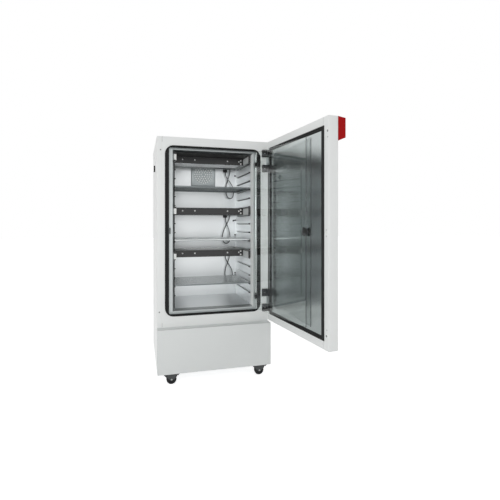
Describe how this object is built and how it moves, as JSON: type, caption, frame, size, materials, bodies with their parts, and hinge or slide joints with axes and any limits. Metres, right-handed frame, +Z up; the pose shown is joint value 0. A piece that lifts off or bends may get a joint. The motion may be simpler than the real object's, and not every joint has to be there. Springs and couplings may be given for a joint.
{
  "type": "growth chamber",
  "caption": "Tall insulated growth chamber on castors, its outer door and inner glass door open on lamp cassettes and shelves over a machine compartment.",
  "frame": {"origin": "on the floor, under the middle of the cabinet body", "axes": "+Z up, front of the cabinet towards -Y, +X towards the hinge side"},
  "size_m": [1.1693, 1.7304, 1.983],
  "materials": {
    "white_paint": "satin",
    "zinc_steel": "satin",
    "foam": "matte",
    "stainless": "satin",
    "throat_metal": "satin",
    "black_rubber": "matte",
    "motor_metal": "matte",
    "fin_aluminium": "satin",
    "black_plastic": "matte",
    "cassette_metal": "satin",
    "tube_glass": "gloss",
    "cable_sheath": "matte",
    "black_enamel": "satin",
    "polished_steel": "polished",
    "red_plastic": "gloss",
    "dark_gloss": "gloss",
    "key_plastic": "matte",
    "clear_glass": "gloss",
    "plug_rubber": "matte",
    "fan_plastic": "matte",
    "castor_rubber": "matte"
  },
  "bodies": {
    "cabinet": {"side_panels": "white_paint", "top_panel": "white_paint", "rear_panel": "zinc_steel", "front_frame": "white_paint", "base_frame": "zinc_steel", "insulation": "foam", "chamber_liner": "stainless", "chamber_throat": "throat_metal", "chamber_seals": "black_rubber", "back_wall": "stainless", "fan_cover": "stainless", "fan_motor": "motor_metal", "evaporator": "fin_aluminium", "lamp_sockets": "black_plastic", "lamp_plugs": "black_plastic", "cassette_top": "cassette_metal", "cassette_mid": "cassette_metal", "cassette_low": "cassette_metal", "lamp_tubes": "tube_glass", "lamp_cable_top": "cable_sheath", "lamp_cable_mid": "cable_sheath", "lamp_cable_low": "cable_sheath", "lower_cover": "white_paint", "compressor": "black_enamel", "condenser": "fin_aluminium", "mains_inlet": "black_plastic", "port_sleeve": "black_plastic", "hinge_blocks": "black_plastic", "glass_fittings": "black_plastic", "shelf_rails": "stainless"},
    "outer_door": {"door_panel": "white_paint", "door_core": "foam", "door_liner": "polished_steel", "door_gasket": "black_rubber", "door_fittings": "black_plastic", "instrument_housing": "red_plastic", "keypad_panel": "dark_gloss"},
    "door_handle": {"door_handle": "black_plastic"},
    "power_switch": {"power_switch": "dark_gloss"},
    "key_set": {"key_set": "key_plastic"},
    "key_down": {"key_down": "key_plastic"},
    "key_up": {"key_up": "key_plastic"},
    "glass_door": {"glass_pane": "clear_glass", "glass_clamps": "black_plastic"},
    "glass_knob": {"glass_knob": "black_plastic"},
    "shelf_top": {"shelf_top": "stainless"},
    "shelf_mid": {"shelf_mid": "stainless"},
    "shelf_low": {"shelf_low": "stainless"},
    "access_plug": {"access_plug": "plug_rubber"},
    "circulation_fan": {"circulation_fan": "fan_plastic"},
    "castor_fork_fl": {"castor_fork_fl": "zinc_steel"},
    "castor_wheel_fl": {"castor_wheel_fl": "castor_rubber"},
    "castor_fork_fr": {"castor_fork_fr": "zinc_steel"},
    "castor_wheel_fr": {"castor_wheel_fr": "castor_rubber"},
    "castor_fork_rl": {"castor_fork_rl": "zinc_steel"},
    "castor_wheel_rl": {"castor_wheel_rl": "castor_rubber"},
    "castor_fork_rr": {"castor_fork_rr": "zinc_steel"},
    "castor_wheel_rr": {"castor_wheel_rr": "castor_rubber"},
    "brake_pedal_fl": {"brake_pedal_fl": "black_plastic"},
    "brake_pedal_fr": {"brake_pedal_fr": "black_plastic"}
  },
  "joints": [
    {"name": "outer_door_hinge", "type": "hinge", "parent": "cabinet", "child": "outer_door", "pos_m": [0.455, -0.4095, 1.229], "axis": [0, 0, 1], "range_deg": [-96.5, 0]},
    {"name": "glass_door_hinge", "type": "hinge", "parent": "cabinet", "child": "glass_door", "pos_m": [0.356, -0.39, 1.229], "axis": [0, 0, 1], "range_deg": [-103.5, 0]},
    {"name": "glass_knob_turn", "type": "hinge", "parent": "glass_door", "child": "glass_knob", "pos_m": [0.51474, -1.05121, 1.229], "axis": [0.9724, 0.2334, 0], "range_deg": [0, 90]},
    {"name": "door_handle_lever", "type": "hinge", "parent": "outer_door", "child": "door_handle", "pos_m": [0.65968, -1.18129, 1.229], "axis": [0, 0, 1], "range_deg": [0, 35], "stiffness_Nm_per_rad": 0.8},
    {"name": "power_switch_rock", "type": "hinge", "parent": "outer_door", "child": "power_switch", "pos_m": [0.68372, -1.24649, 1.912], "axis": [0.1132, -0.9936, 0], "range_deg": [0, 10]},
    {"name": "access_plug_slide", "type": "slide", "parent": "cabinet", "child": "access_plug", "axis": [-1, 0, 0], "range_m": [0, 0.11]},
    {"name": "circulation_fan_spin", "type": "hinge", "parent": "cabinet", "child": "circulation_fan", "pos_m": [0, 0.22, 1.76], "axis": [0, 1, 0], "continuous": true},
    {"name": "key_set_press", "type": "slide", "parent": "outer_door", "child": "key_set", "axis": [-0.9936, -0.1132, 0], "range_m": [0, 0.0015], "stiffness_N_per_m": 600, "springref_m": -0.0005},
    {"name": "key_down_press", "type": "slide", "parent": "outer_door", "child": "key_down", "axis": [-0.9936, -0.1132, 0], "range_m": [0, 0.0015], "stiffness_N_per_m": 600, "springref_m": -0.0005},
    {"name": "key_up_press", "type": "slide", "parent": "outer_door", "child": "key_up", "axis": [-0.9936, -0.1132, 0], "range_m": [0, 0.0015], "stiffness_N_per_m": 600, "springref_m": -0.0005},
    {"name": "shelf_top_slide", "type": "slide", "parent": "cabinet", "child": "shelf_top", "axis": [0, -1, 0], "range_m": [0, 0.3]},
    {"name": "shelf_mid_slide", "type": "slide", "parent": "cabinet", "child": "shelf_mid", "axis": [0, -1, 0], "range_m": [0, 0.3]},
    {"name": "shelf_low_slide", "type": "slide", "parent": "cabinet", "child": "shelf_low", "axis": [0, -1, 0], "range_m": [0, 0.3]},
    {"name": "castor_swivel_fl", "type": "hinge", "parent": "cabinet", "child": "castor_fork_fl", "pos_m": [-0.3675, -0.38, 0.094], "axis": [0, 0, 1], "continuous": true},
    {"name": "castor_roll_fl", "type": "hinge", "parent": "castor_fork_fl", "child": "castor_wheel_fl", "pos_m": [-0.3475, -0.38, 0.04], "axis": [0, 1, 0], "continuous": true},
    {"name": "brake_pedal_fl_press", "type": "hinge", "parent": "castor_fork_fl", "child": "brake_pedal_fl", "pos_m": [-0.3085, -0.38, 0.067], "axis": [0, 1, 0], "range_deg": [0, 12]},
    {"name": "castor_swivel_fr", "type": "hinge", "parent": "cabinet", "child": "castor_fork_fr", "pos_m": [0.3675, -0.38, 0.094], "axis": [0, 0, 1], "continuous": true},
    {"name": "castor_roll_fr", "type": "hinge", "parent": "castor_fork_fr", "child": "castor_wheel_fr", "pos_m": [0.3875, -0.38, 0.04], "axis": [0, 1, 0], "continuous": true},
    {"name": "brake_pedal_fr_press", "type": "hinge", "parent": "castor_fork_fr", "child": "brake_pedal_fr", "pos_m": [0.4265, -0.38, 0.067], "axis": [0, 1, 0], "range_deg": [0, 12]},
    {"name": "castor_swivel_rl", "type": "hinge", "parent": "cabinet", "child": "castor_fork_rl", "pos_m": [-0.3675, 0.32, 0.094], "axis": [0, 0, 1], "continuous": true},
    {"name": "castor_roll_rl", "type": "hinge", "parent": "castor_fork_rl", "child": "castor_wheel_rl", "pos_m": [-0.3675, 0.3, 0.04], "axis": [1, 0, 0], "continuous": true},
    {"name": "castor_swivel_rr", "type": "hinge", "parent": "cabinet", "child": "castor_fork_rr", "pos_m": [0.3675, 0.32, 0.094], "axis": [0, 0, 1], "continuous": true},
    {"name": "castor_roll_rr", "type": "hinge", "parent": "castor_fork_rr", "child": "castor_wheel_rr", "pos_m": [0.3675, 0.3, 0.04], "axis": [1, 0, 0], "continuous": true}
  ],
  "couplings": [
    {"joint": "glass_door_hinge", "follows": "outer_door_hinge", "ratio": 1.0725}
  ]
}
